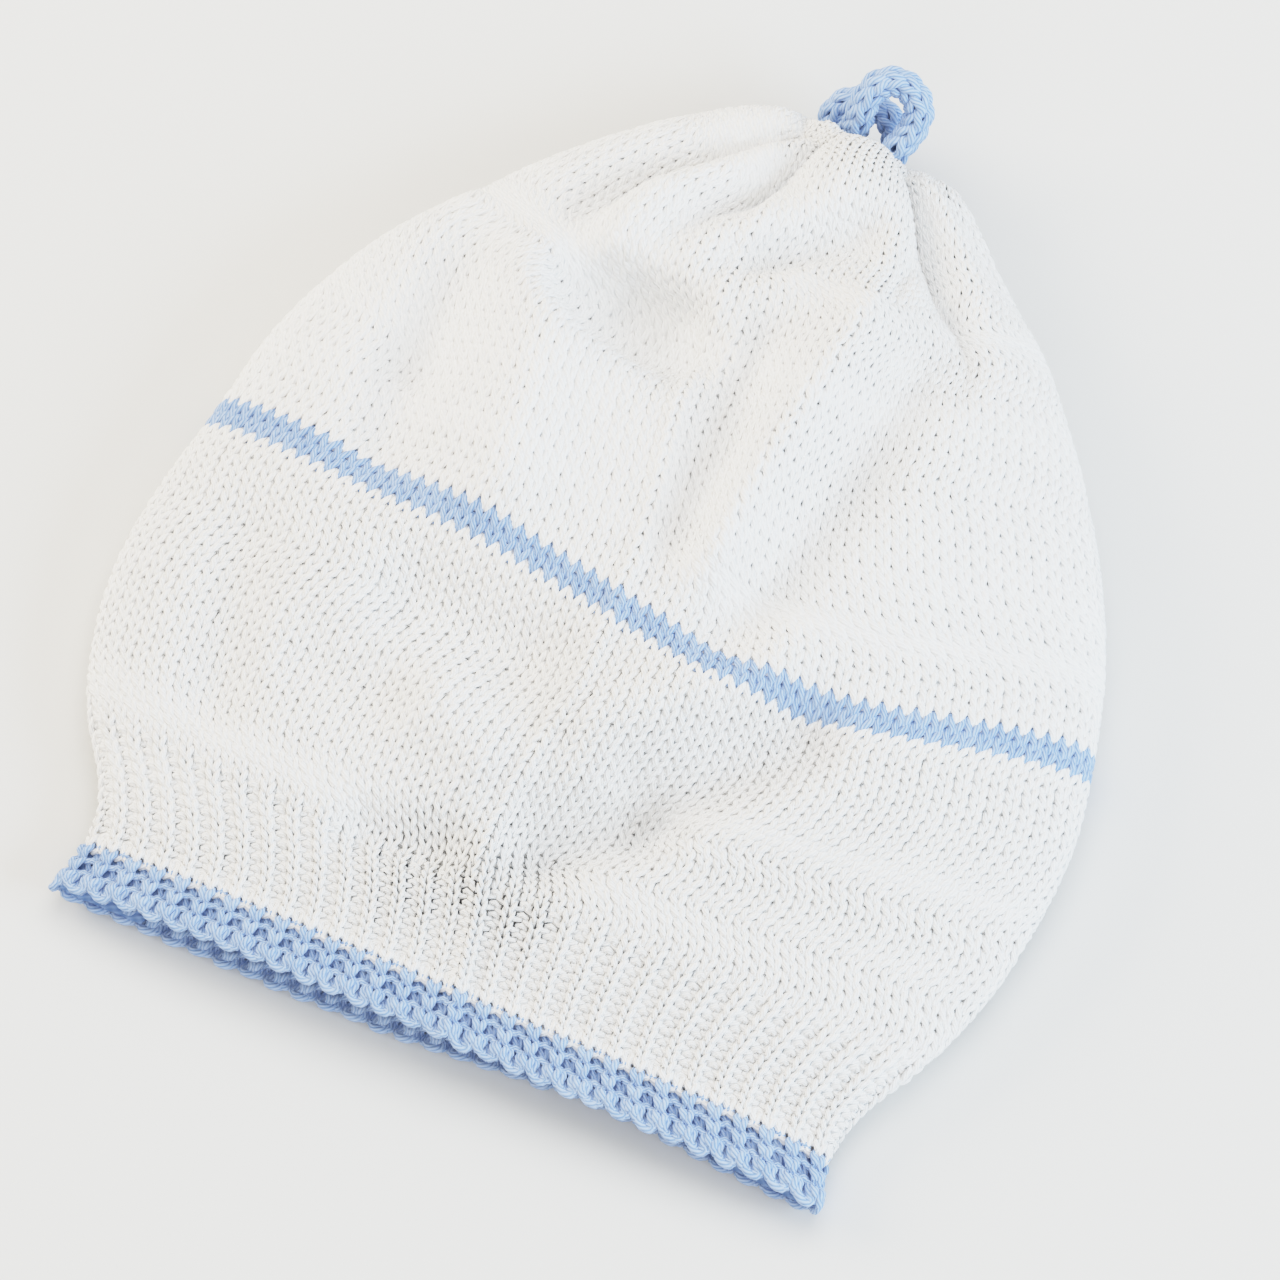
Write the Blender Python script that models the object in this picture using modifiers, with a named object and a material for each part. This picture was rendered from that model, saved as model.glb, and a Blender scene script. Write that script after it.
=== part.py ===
"""Newborn hat in knitted cotton, lying flat on its front with the back seam up.

The hat is one tube of knitting. A pale blue cast-on edge starts it, white rib and plain
knitting follow, two blue rows make a stripe, and the crown is drawn together at the top in
pleats around a small knitted cord loop. It lies softly puffed: the underside is flat on the
floor, the upper side domes, sags and folds. The mouth is open and the crown is hollow.

Every knitted piece is cut from one surface. SECTIONS says how a course of knitting lies at
each height of the hat, FOLDS presses dents into the upper side, and PLEATS gathers the top.
X runs across the hat, Y from the mouth to the gather and Z up from the floor, in metres.
"""
import math

import bmesh
import bpy
import numpy as np
from mathutils import Matrix

# Named sizes of the hat as it lies, in metres
LENGTH = 0.1835           # mouth edge to the gather
HALF = 0.086              # half of the widest width
PUFF = 0.030              # height of the upper side over the floor
WALL = 0.0021             # thickness of the knitted fabric
GAP = 0.0003              # clear space kept between neighbouring pieces
RIB_DEPTH = 0.0008        # how far the purl columns lie behind the knit columns
PLEAT_DEPTH = 0.0046      # how deep the pleats are pressed in near the gather
CORD = 0.0050             # thickness of the knitted cord
DOME = 2.4                # how square the upper side domes, 2 is a half circle
ROLL = 1.3                # how far the underside rolls up at the sides, in heights of the rim

# Counts of the knitting
ROWS = 90                 # rows from the cast-on edge to the gather
WALES = 120               # stitches round the hat, one knit and one purl to a rib
EDGE_ROWS = 4             # rows in the blue edge, the cast-on included
RIB_ROWS = 15             # row where rib turns to plain knitting
STRIPE_START = 40
STRIPE_END = 42

# How each course lies, one row of the table for each height in the hat.
# row: rows from the cast-on edge. left_x and right_x: how far the two side folds lie from
# the middle, shares of HALF. left_y and right_y: how far they lie from the mouth, shares of
# LENGTH. bow: how far the middle of the course hangs back towards the mouth, share of LENGTH.
# sag: how far its upper side sags towards the mouth right of the seam, share of LENGTH.
# top: height of the upper side, rim: height of the side folds, lift: height of the
# underside, shares of PUFF. seam: where the back seam lies, share of HALF.
SECTIONS = (
    # row, left_x, left_y, right_x, right_y, bow,   sag,   top,  rim,  lift,  seam
    (0.0,  0.843,  0.000,  0.840,   0.005,   0.000, 0.000, 0.43, 0.20, 0.000,  0.020),
    (4.0,  0.818,  0.043,  0.816,   0.047,   0.001, 0.000, 0.45, 0.20, 0.000,  0.005),
    (8.0,  0.828,  0.086,  0.824,   0.087,   0.004, 0.000, 0.47, 0.21, 0.000, -0.010),
    (11.5, 0.874,  0.125,  0.854,   0.123,   0.010, 0.000, 0.51, 0.21, 0.000, -0.025),
    (15.0, 0.939,  0.165,  0.905,   0.166,   0.017, 0.000, 0.56, 0.22, 0.000, -0.045),
    (20.0, 0.996,  0.230,  0.955,   0.229,   0.028, 0.002, 0.63, 0.23, 0.000, -0.053),
    (27.0, 1.028,  0.318,  0.992,   0.323,   0.041, 0.014, 0.75, 0.25, 0.000, -0.040),
    (34.0, 1.019,  0.403,  0.998,   0.411,   0.038, 0.038, 0.85, 0.27, 0.000, -0.015),
    (41.0, 0.989,  0.488,  0.967,   0.494,   0.031, 0.059, 0.93, 0.28, 0.000, -0.015),
    (48.0, 0.951,  0.604,  0.900,   0.600,   0.060, 0.048, 0.98, 0.29, 0.000, -0.030),
    (55.0, 0.843,  0.720,  0.795,   0.699,   0.079, 0.027, 1.02, 0.33, 0.000, -0.070),
    (62.0, 0.685,  0.816,  0.663,   0.787,   0.086, 0.009, 1.01, 0.36, 0.000, -0.095),
    (69.0, 0.520,  0.902,  0.530,   0.863,   0.080, 0.001, 0.96, 0.37, 0.000, -0.105),
    (76.0, 0.346,  0.973,  0.376,   0.930,   0.064, 0.000, 0.85, 0.38, 0.000, -0.105),
    (82.0, 0.198,  1.006,  0.232,   0.984,   0.040, 0.000, 0.74, 0.39, 0.030, -0.095),
    (86.0, 0.131,  1.004,  0.160,   0.992,   0.019, 0.000, 0.67, 0.38, 0.080, -0.080),
    (90.0, 0.098,  0.992,  0.098,   0.987,   0.003, 0.000, 0.58, 0.37, 0.170, -0.070),
)

# Middle of the sag of the courses, and its half width, shares of HALF
SAG_AT = 0.34
SAG_WIDTH = 0.47

# Dents and swells of the upper side, each along a straight run seen from above.
# x and y: ends of the run, shares of HALF and LENGTH. depth: share of PUFF, negative where
# the fabric swells up. width: half width of the dent, share of HALF.
FOLDS = (
    # name,               x1,    y1,    x2,    y2,    depth, width
    ("left valley",      -0.69,  0.770, -0.63,  0.600,  0.13, 0.060),
    ("left valley low",  -0.61,  0.560, -0.50,  0.430,  0.10, 0.080),
    ("left hollow",      -0.36,  0.745, -0.15,  0.712,  0.16, 0.085),
    ("buckle",           -0.10,  0.800,  0.08,  0.870,  0.10, 0.055),
    ("seam valley",       0.02,  0.730,  0.05,  0.510,  0.10, 0.070),
    ("middle ridge",      0.20,  0.800,  0.12,  0.510, -0.11, 0.085),
    ("right valley",      0.33,  0.790,  0.29,  0.660,  0.06, 0.080),
    ("right valley 2",    0.28,  0.620,  0.20,  0.450,  0.07, 0.080),
    ("lower valley",      0.42,  0.365,  0.22,  0.275,  0.13, 0.080),
    ("lower valley 2",    0.18,  0.250,  0.04,  0.202,  0.14, 0.080),
    ("right bulge",       0.32,  0.430,  0.05,  0.320, -0.05, 0.100),
    ("lower left dip",   -0.30,  0.150, -0.15,  0.160,  0.09, 0.075),
    ("left bulge",       -0.26,  0.270, -0.14,  0.250, -0.05, 0.080),
    ("under the stripe", -0.36,  0.375, -0.14,  0.365,  0.09, 0.085),
    ("left slope",       -0.53,  0.276, -0.40,  0.280,  0.07, 0.085),
    ("left low valley",  -0.74,  0.350, -0.64,  0.220,  0.10, 0.075),
    ("left shoulder",    -0.50,  0.660, -0.36,  0.500, -0.08, 0.110),
    ("right shoulder",    0.45,  0.720,  0.52,  0.560, -0.05, 0.130),
    ("mouth sag",         0.17, -0.011,  0.56,  0.033,  0.04, 0.160),
)

# Underside of the mouth, drawn back a little under the right half of the upper edge
TUCK = 0.0026             # how far it is drawn back
TUCK_AT = 0.34            # middle of that stretch, share of HALF
TUCK_WIDTH = 0.30         # half width of that stretch, share of HALF

# Creases of the gathered top. place: where the crease lies, as a share of the way round from
# the seam. depth: share of PLEAT_DEPTH. width: half width, share of the way round.
# reach: how many rows down from the gather the crease runs.
PLEATS = (
    # name,             place, depth, width, reach
    ("seam crease",     0.985, 0.90,  0.026, 26.0),
    ("central minor",   0.065, 0.30,  0.022, 14.0),
    ("right deep",      0.145, 1.15,  0.026, 38.0),
    ("right minor",     0.212, 0.75,  0.024, 26.0),
    ("right under",     0.285, 0.80,  0.028, 22.0),
    ("under 1",         0.365, 0.90,  0.030, 24.0),
    ("under 2",         0.445, 0.90,  0.030, 30.0),
    ("under 3",         0.525, 0.90,  0.030, 24.0),
    ("under 4",         0.605, 0.90,  0.030, 30.0),
    ("left under",      0.690, 0.80,  0.028, 22.0),
    ("left minor",      0.770, 0.65,  0.024, 22.0),
    ("left deep",       0.842, 1.10,  0.026, 36.0),
    ("left inner",      0.915, 0.60,  0.024, 22.0),
)

# Middle line of the cord, from its end in front on the right, over the tall arch, round at
# the left foot and over the low arch behind. Shares of CORD from the foot of the loop.
LOOP_FOOT = (0.0, 0.99019 * LENGTH, PUFF / 3)
LOOP = (
    # name,               x,     y,    z
    ("front right foot",  1.26,  0.00, 1.05),
    ("front right foot+", 1.34,  0.45, 1.20),
    ("front right leg",   1.50,  1.10, 1.55),
    ("front right bend",  1.42,  1.75, 2.05),
    ("front top right",   0.90,  2.10, 2.45),
    ("front top",         0.22,  2.08, 2.66),
    ("front top left",   -0.32,  1.70, 2.58),
    ("front left bend",  -0.58,  1.12, 2.16),
    ("front left leg",   -0.64,  0.74, 1.42),
    ("left foot front",  -0.84,  0.60, 0.50),
    ("left foot",        -1.20,  0.60, -0.24),
    ("left foot back",   -1.70,  0.78, -0.34),
    ("rear left leg",    -1.92,  1.20, 0.06),
    ("rear left bend",   -1.60,  1.66, 0.46),
    ("rear top",         -0.98,  1.90, 0.62),
    ("rear top right",   -0.30,  1.86, 0.46),
    ("rear right bend",   0.26,  1.56, 0.14),
    ("rear right leg",    0.62,  1.00, -0.16),
    ("rear right foot",   0.78,  0.40, -0.30),
    ("rear right foot+",  0.80,  0.00, -0.34),
)

# How finely each piece is made
PLAIN_COLUMNS = 64        # faces round the plain pieces
CROWN_COLUMNS = 96        # faces round the pleated crown
CORD_POINTS = 46          # points along the cord
LOWER_RINGS = 7           # rings between the ends of the lower crown
SIDE_RINGS = 10           # rings of the crown's outside below its finer top
TOP_RINGS = 7             # rings of its finer top
HOLLOW_RINGS = 6          # rings of the crown's hollow below its top
HOLLOW_TOP_RINGS = 3      # rings of the hollow's top
NEAR = 0.6                # rows from an end to the next ring, so neighbours meet squarely
BEND_SHARE = 0.3          # share of the points that goes to the places that turn most
SHORT_ROW = 0.68665       # height of the shortest row, as a share of the average one

# The closed top of the crown
CLOSING = 80.0            # row from which the pleats are drawn together
PLEAT_ROW = 76.0          # row where the finer rings of the top begin
HOLLOW_END = 84.0         # row of the hollow's last ring
LIP = 0.62                # width of the gather's opening, as a share of the last ring
LIP_RISE = 0.19           # how far the lip stands over the last ring, share of WALL
TIP_RISE = 0.71           # how far the hollow's end stands over its last ring, share of WALL

BLUE = (0.55, 0.70, 0.90)
WHITE = (0.88, 0.88, 0.89)


# Smooth values between the rows of a table
def between(table, at):
    """Values of a table at a place given by its first column, on a smooth curve."""
    table = np.array(table, dtype=float)
    place = table[:, 0]
    value = table[:, 1:]
    step = np.diff(place)[:, None]
    slope = np.diff(value, axis=0) / step
    tangent = np.vstack([slope[:1], slope[:-1] + slope[1:], slope[-1:]])
    tangent[1:-1] = (slope[:-1] * step[1:] + slope[1:] * step[:-1]) / (step[:-1] + step[1:])
    i = int(np.clip(np.searchsorted(place, at, side="right") - 1, 0, len(place) - 2))
    h = place[i + 1] - place[i]
    t = (at - place[i]) / h
    return (
        (2 * t**3 - 3 * t**2 + 1) * value[i]
        + (t**3 - 2 * t**2 + t) * h * tangent[i]
        + (3 * t**2 - 2 * t**3) * value[i + 1]
        + (t**3 - t**2) * h * tangent[i + 1]
    )


def dent(x, y):
    """How far the folds press the upper side down at a place seen from above."""
    down = np.zeros_like(x)
    for name, x1, y1, x2, y2, depth, width in FOLDS:
        ax, ay = x1 * HALF, y1 * LENGTH
        bx, by = x2 * HALF, y2 * LENGTH
        run = (bx - ax) ** 2 + (by - ay) ** 2
        share = np.clip(((x - ax) * (bx - ax) + (y - ay) * (by - ay)) / run, 0.0, 1.0)
        away = np.hypot(x - ax - share * (bx - ax), y - ay - share * (by - ay))
        down += depth * PUFF * np.exp(-((away / (width * HALF)) ** 2))
    return down


def course(row, count, bend):
    """One course of knitting: points round it from the seam to the right. They are evenly
    spaced, apart from the share given by bend, which goes to the places that turn most."""
    left_x, left_y, right_x, right_y, bow, sag, top, rim, lift, seam = between(SECTIONS, row)
    middle = (right_x - left_x) / 2 * HALF
    half = (right_x + left_x) / 2 * HALF
    angle = np.linspace(0.0, 2.0 * math.pi, 1441)
    side = -np.cos(angle)
    x = middle + side * half
    chord = left_y + (right_y - left_y) * (side + 1) / 2
    y = (chord - bow * (1 - side**2)) * LENGTH
    sag = sag * np.exp(-((x / HALF - SAG_AT) / SAG_WIDTH) ** 2) * np.sin(angle) ** 2
    y = np.where(angle < math.pi, y - sag * LENGTH, y)
    rise = np.sqrt(np.maximum(0.0, 1 - np.abs(side) ** DOME))
    upper = (rim + (top - rim) * rise) * PUFF - dent(x, y) * np.sin(angle) ** 2
    roll = np.clip(1 + (np.abs(side) - 1) * half / (ROLL * rim * PUFF), 0.0, 1.0)
    lift = max(lift, 0.0)
    under = (lift + (rim - lift) * (1 - np.sqrt(1 - roll**2))) * PUFF
    z = np.where(angle < math.pi, upper, under)
    fade = max(0.0, 1 - row / RIB_ROWS) * np.minimum(1.0, -4 * np.sin(angle))
    tuck = TUCK * fade * np.exp(-((x / HALF - TUCK_AT) / TUCK_WIDTH) ** 2)
    y = np.where(angle > math.pi, y + tuck, y)
    loop = np.stack([x, y, z], axis=1)
    start = int(np.argmin(np.abs(x[:720] - seam * HALF)))
    loop = np.vstack([loop[start:-1], loop[: start + 1]])
    steps = np.diff(loop, axis=0)
    sizes = np.linalg.norm(steps, axis=1)
    ways = steps / sizes[:, None]
    turns = np.linalg.norm(ways - np.roll(ways, 1, axis=0), axis=1)
    sizes = sizes / sizes.sum() * (1 - bend) + turns / turns.sum() * bend
    length = np.concatenate([[0.0], np.cumsum(sizes)])
    at = np.arange(count) / count * length[-1]
    return np.stack([np.interp(at, length, loop[:, k]) for k in range(3)], axis=1)


def fabric(rows, count, bend=0.0):
    """The smooth outside of the hat between rows, with the way out from it at each point."""
    grid = np.array([course(row, count, bend) for row in rows])
    ahead = np.array([course(min(row + 0.5, ROWS), count, bend) for row in rows])
    behind = np.array([course(max(row - 0.5, 0), count, bend) for row in rows])
    along = ahead - behind
    round_it = np.roll(grid, -1, axis=1) - np.roll(grid, 1, axis=1)
    out = np.cross(round_it, along)
    out /= np.linalg.norm(out, axis=2)[:, :, None]
    return grid, out


def pleat(row, share):
    """How deep the pleats are at a row, for places given as shares of the way round."""
    deep = np.zeros_like(share)
    for name, place, depth, width, reach in PLEATS:
        away = np.abs((share - place + 0.5) % 1.0 - 0.5)
        grow = np.clip((row - (ROWS - reach)) / reach, 0.0, 1.0)
        grow = grow * grow * (3 - 2 * grow)
        deep = np.maximum(deep, depth * grow * np.exp(-((away / width) ** 2)))
    close = np.clip((row - CLOSING) / (ROWS - CLOSING), 0.0, 1.0)
    return deep * PLEAT_DEPTH * (1 - 0.4 * close)


# Making the objects
def material(name, colour, roughness):
    made = bpy.data.materials.new(name)
    made.use_nodes = True
    shader = made.node_tree.nodes["Principled BSDF"]
    shader.inputs["Base Color"].default_value = (*colour, 1.0)
    shader.inputs["Roughness"].default_value = roughness
    return made


def add_object(name, data, colour):
    made = bpy.data.objects.new(name, data)
    data.materials.append(material(name + "_yarn", colour, 0.9))
    hat.objects.link(made)
    return made


def skin(mesh, grid, flip=False):
    """Adds a grid of faces that closes round, and gives back its rings of corners."""
    rings = [[mesh.verts.new(point) for point in ring] for ring in grid]
    count = len(rings[0])
    for low, high in zip(rings, rings[1:]):
        for i in range(count):
            j = (i + 1) % count
            face = (low[i], low[j], high[j], high[i])
            mesh.faces.new(tuple(reversed(face)) if flip else face)
    return rings


def close_end(mesh, ring, point, flip=False):
    """Closes a ring of corners with a fan of faces to one point."""
    tip = mesh.verts.new(point)
    count = len(ring)
    for i in range(count):
        face = (ring[i], ring[(i + 1) % count], tip)
        mesh.faces.new(tuple(reversed(face)) if flip else face)


def finish(name, mesh, colour):
    data = bpy.data.meshes.new(name)
    mesh.to_mesh(data)
    mesh.free()
    for face in data.polygons:
        face.use_smooth = True
    return add_object(name, data, colour)


def tube(name, rows, columns, colour, ribbed):
    """A length of the hat as an open skin, given its thickness towards the hollow."""
    grid, out = fabric(rows, columns, 0.0 if ribbed else BEND_SHARE)
    if ribbed:
        grid[:, 1::2] -= out[:, 1::2] * RIB_DEPTH
    mesh = bmesh.new()
    skin(mesh, grid)
    made = finish(name, mesh, colour)
    wall = made.modifiers.new("fabric thickness", "SOLIDIFY")
    wall.thickness = WALL
    wall.offset = -1.0
    wall.use_even_offset = True
    return made


def crown(name, start, colour):
    """The top of the hat: pleats outside, a plain hollow inside, closed at the gather."""
    share = np.arange(CROWN_COLUMNS) / CROWN_COLUMNS
    rows = np.linspace(start, PLEAT_ROW, SIDE_RINGS)
    rows = np.concatenate([rows, np.linspace(PLEAT_ROW, ROWS, TOP_RINGS)[1:]])
    grid, out = fabric(rows, CROWN_COLUMNS)
    deep = np.array([pleat(row, share) for row in rows])
    outside = grid - out * deep[:, :, None]
    mesh = bmesh.new()
    outer = skin(mesh, outside)
    heart = outside[-1].mean(axis=0)
    rise = np.array([0.0, LIP_RISE * WALL, 0.0])
    lip = [mesh.verts.new(heart + (point - heart) * LIP + rise) for point in outside[-1]]
    for i in range(CROWN_COLUMNS):
        j = (i + 1) % CROWN_COLUMNS
        mesh.faces.new((outer[-1][i], outer[-1][j], lip[j], lip[i]))
    close_end(mesh, lip, heart)
    rows = np.linspace(start, PLEAT_ROW, HOLLOW_RINGS)
    rows = np.concatenate([rows, np.linspace(PLEAT_ROW, HOLLOW_END, HOLLOW_TOP_RINGS)[1:]])
    grid, out = fabric(rows, CROWN_COLUMNS)
    full = np.array([pleat(row, share).max() for row in rows])
    inside = grid - out * (WALL + full[:, None, None])
    inner = skin(mesh, inside, flip=True)
    tip = inside[-1].mean(axis=0) + (0.0, TIP_RISE * WALL, 0.0)
    close_end(mesh, inner[-1], tip, flip=True)
    for i in range(CROWN_COLUMNS):
        j = (i + 1) % CROWN_COLUMNS
        mesh.faces.new((inner[0][i], inner[0][j], outer[0][j], outer[0][i]))
    return finish(name, mesh, colour)


def cord(name, colour):
    """The knitted cord, one round tube bent into two arches that share a foot."""
    stops = np.array([line[1:] for line in LOOP]) * CORD + LOOP_FOOT
    table = np.column_stack([np.arange(len(stops)), stops])
    line = np.array([between(table, at) for at in np.linspace(0, len(stops) - 1, 8 * len(stops))])
    length = np.concatenate([[0.0], np.cumsum(np.linalg.norm(np.diff(line, axis=0), axis=1))])
    at = np.linspace(0.0, length[-1], CORD_POINTS)
    points = np.stack([np.interp(at, length, line[:, k]) for k in range(3)], axis=1)
    curve = bpy.data.curves.new(name, "CURVE")
    curve.dimensions = "3D"
    path = curve.splines.new("POLY")
    path.points.add(CORD_POINTS - 1)
    for spot, point in zip(path.points, points):
        spot.co = (*point, 1.0)
    path.use_smooth = True
    curve.bevel_depth = CORD / 2
    curve.bevel_resolution = 3
    curve.use_fill_caps = True
    return add_object(name, curve, colour)


# The hat
for old in list(bpy.data.objects):
    bpy.data.objects.remove(old)
hat = bpy.data.collections.new("newborn_hat")
bpy.context.scene.collection.children.link(hat)

# Share of a row left clear on each side of a joint. It is measured by the shortest row, so
# the joint keeps its clear space all through the fabric where the hat flares
BREAK = GAP / 2 / (SHORT_ROW * LENGTH / ROWS)

# Each piece starts and stops that far from its neighbour, with a ring close by to hold the
# direction of the fabric there, so that the two cut ends stay face to face
edge_rows = (0.0, EDGE_ROWS - NEAR, EDGE_ROWS - BREAK)
rib_rows = (EDGE_ROWS + BREAK, (EDGE_ROWS + RIB_ROWS) / 2, RIB_ROWS - NEAR, RIB_ROWS - BREAK)
lower_rows = np.linspace(RIB_ROWS + NEAR, STRIPE_START - NEAR, LOWER_RINGS)
lower_rows = (RIB_ROWS + 2 * BREAK, *lower_rows, STRIPE_START - BREAK)
stripe_rows = (STRIPE_START + NEAR, STRIPE_END - NEAR)
stripe_rows = (STRIPE_START + BREAK, *stripe_rows, STRIPE_END - BREAK)

tube("edge_band", edge_rows, WALES, BLUE, True)
tube("rib_band", rib_rows, WALES, WHITE, True)
tube("lower_crown", lower_rows, PLAIN_COLUMNS, WHITE, False)
tube("stripe", stripe_rows, PLAIN_COLUMNS, BLUE, False)
crown("upper_crown", STRIPE_END + BREAK, WHITE)
cord("top_loop", BLUE)

# The box around the whole hat is centred over the origin, with the floor at height zero
bpy.context.view_layer.update()
graph = bpy.context.evaluated_depsgraph_get()
corners = []
for made in hat.objects:
    shape = made.evaluated_get(graph)
    solid = shape.to_mesh()
    corners += [tuple(v.co) for v in solid.vertices]
    shape.to_mesh_clear()
low = np.min(corners, axis=0)
high = np.max(corners, axis=0)
shift = Matrix.Translation((-(low[0] + high[0]) / 2, -(low[1] + high[1]) / 2, 0.0))
for made in hat.objects:
    made.data.transform(shift)
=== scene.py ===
# %% [markdown]
# # A knitted newborn hat, lying flat
#
# The hat is a tube of cotton knitting with a blue cast-on edge, white rib, plain knitting
# with a blue stripe, and a crown that is drawn together round a small knitted cord.
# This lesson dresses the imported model, piece by piece, in real loops of yarn.
# Everything is in metres: X runs across the hat, Y from the mouth to the gather, Z is up.

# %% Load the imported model
import math

import bpy
import numpy as np
from mathutils import Matrix, Vector


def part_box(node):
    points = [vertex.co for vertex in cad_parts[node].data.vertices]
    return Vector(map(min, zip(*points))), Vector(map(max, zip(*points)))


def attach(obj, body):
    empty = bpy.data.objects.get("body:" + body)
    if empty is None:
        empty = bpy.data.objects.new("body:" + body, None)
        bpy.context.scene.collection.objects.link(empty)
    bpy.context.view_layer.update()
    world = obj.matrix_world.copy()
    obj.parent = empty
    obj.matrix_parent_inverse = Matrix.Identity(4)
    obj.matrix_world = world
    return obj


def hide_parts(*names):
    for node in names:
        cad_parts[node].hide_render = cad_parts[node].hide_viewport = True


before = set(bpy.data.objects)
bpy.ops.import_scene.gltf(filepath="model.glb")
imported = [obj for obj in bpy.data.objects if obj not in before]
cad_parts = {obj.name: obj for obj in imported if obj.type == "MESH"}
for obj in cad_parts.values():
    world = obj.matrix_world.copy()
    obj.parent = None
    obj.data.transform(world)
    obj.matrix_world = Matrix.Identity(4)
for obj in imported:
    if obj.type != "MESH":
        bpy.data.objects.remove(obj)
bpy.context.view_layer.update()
scene = bpy.context.scene
print("packed nodes:", sorted(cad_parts))

# %% [markdown]
# ## The camera
#
# The photograph looks down steeply on the hat, turned a little to one side. A camera could
# be aimed by hand, but then nothing lines up twice. Here its angle, roll, distance and lens
# are numbers, and its three axes are worked out from them.

# %% Camera
AZIMUTH = math.radians(25.45)
ELEVATION = math.radians(67.0)
ROLL = math.radians(-1.05)
DISTANCE = 1.0
AIM = Vector((0.0033, -0.0167, 0.010))
FOCAL_PIXELS = 5767.0
IMAGE_PIXELS = 1280.0
SENSOR_MM = 36.0


def add_object(name, data):
    """Adds an object to the scene."""
    made = bpy.data.objects.new(name, data)
    scene.collection.objects.link(made)
    return made


back = Vector((
    math.sin(AZIMUTH) * math.cos(ELEVATION),
    -math.cos(AZIMUTH) * math.cos(ELEVATION),
    math.sin(ELEVATION),
))
right = Vector((math.cos(AZIMUTH), math.sin(AZIMUTH), 0.0))
up = back.cross(right)
camera_data = bpy.data.cameras.new("camera")
camera_data.sensor_width = SENSOR_MM
camera_data.lens = FOCAL_PIXELS / IMAGE_PIXELS * SENSOR_MM
camera_data.clip_start = 0.01
camera = add_object("camera", camera_data)
turned_right = right * math.cos(ROLL) + up * math.sin(ROLL)
turned_up = up * math.cos(ROLL) - right * math.sin(ROLL)
turn = Matrix((turned_right, turned_up, back)).transposed().to_4x4()
camera.matrix_world = Matrix.Translation(AIM + back * DISTANCE) @ turn
scene.camera = camera
print("lens", round(camera_data.lens, 1), "mm")

# %% [markdown]
# ## How the fabric lies
#
# These tables say how wide, high and bowed each course of knitting lies, and where folds
# press into the upper side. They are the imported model's tables with deeper, finer folds and
# a stripe that hangs a little lower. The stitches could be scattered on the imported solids,
# but those are coarse, while the tables give a smooth surface with the same outline.

# %% Sizes and tables of the fabric
LENGTH = 0.1835  # from the mouth to the gather
HALF = 0.086  # half of the width
PUFF = 0.030  # height that the table's heights are shares of
WALL = 0.0021  # thickness of the fabric
ROWS = 90
WALES = 120  # columns of stitches round the hat
EDGE_ROWS = 4  # row at which the blue edge ends
RIB_ROWS = 15  # row at which the rib ends
STRIPE_START = 40
STRIPE_END = 42
ROUND = 1440  # points round a course at first
DOME = 2.4  # how flat the upper side is across, where 2 is half an ellipse
ROLL = 1.3  # how wide the underside rolls up at its sides, in heights of the rim

SECTIONS = np.array((
    # row, left_x, left_y, right_x, right_y, bow, sag, top, rim, lift, seam
    (0, 0.843, 0, 0.84, 0.005, 0, 0, 0.43, 0.2, 0, 0.02),
    (4, 0.818, 0.043, 0.816, 0.047, 0.001, 0, 0.45, 0.2, 0, 0.005),
    (8, 0.828, 0.086, 0.824, 0.087, 0.004, 0, 0.47, 0.21, 0, -0.01),
    (11.5, 0.874, 0.125, 0.854, 0.123, 0.01, 0, 0.51, 0.21, 0, -0.025),
    (15, 0.939, 0.165, 0.905, 0.166, 0.017, 0, 0.56, 0.22, 0, -0.045),
    (20, 0.996, 0.23, 0.955, 0.229, 0.028, 0.002, 0.63, 0.23, 0, -0.053),
    (27, 1.028, 0.318, 0.992, 0.323, 0.041, 0.014, 0.75, 0.25, 0, -0.04),
    (34, 1.019, 0.401, 0.998, 0.411, 0.044, 0.038, 0.85, 0.27, 0, -0.015),
    (41, 0.989, 0.484, 0.967, 0.494, 0.038, 0.056, 0.93, 0.28, 0, -0.015),
    (48, 0.951, 0.602, 0.9, 0.6, 0.064, 0.048, 0.98, 0.29, 0, -0.03),
    (55, 0.843, 0.72, 0.795, 0.699, 0.079, 0.027, 1.02, 0.33, 0, -0.07),
    (62, 0.685, 0.816, 0.663, 0.787, 0.086, 0.009, 1.01, 0.36, 0, -0.095),
    (69, 0.52, 0.902, 0.53, 0.863, 0.08, 0.001, 0.96, 0.37, 0, -0.105),
    (76, 0.346, 0.973, 0.376, 0.93, 0.064, 0, 0.85, 0.38, 0, -0.105),
    (82, 0.198, 1.006, 0.236, 0.99, 0.04, 0, 0.82, 0.41, 0.03, -0.095),
    (86, 0.131, 1.004, 0.166, 1.001, 0.019, 0, 0.75, 0.4, 0.08, -0.08),
    (90, 0.098, 0.992, 0.104, 0.995, 0.003, 0, 0.62, 0.38, 0.17, -0.07),
))
SAG_AT = 0.46
SAG_WIDTH = 0.53
SAG_EASE = 0.65

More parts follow.
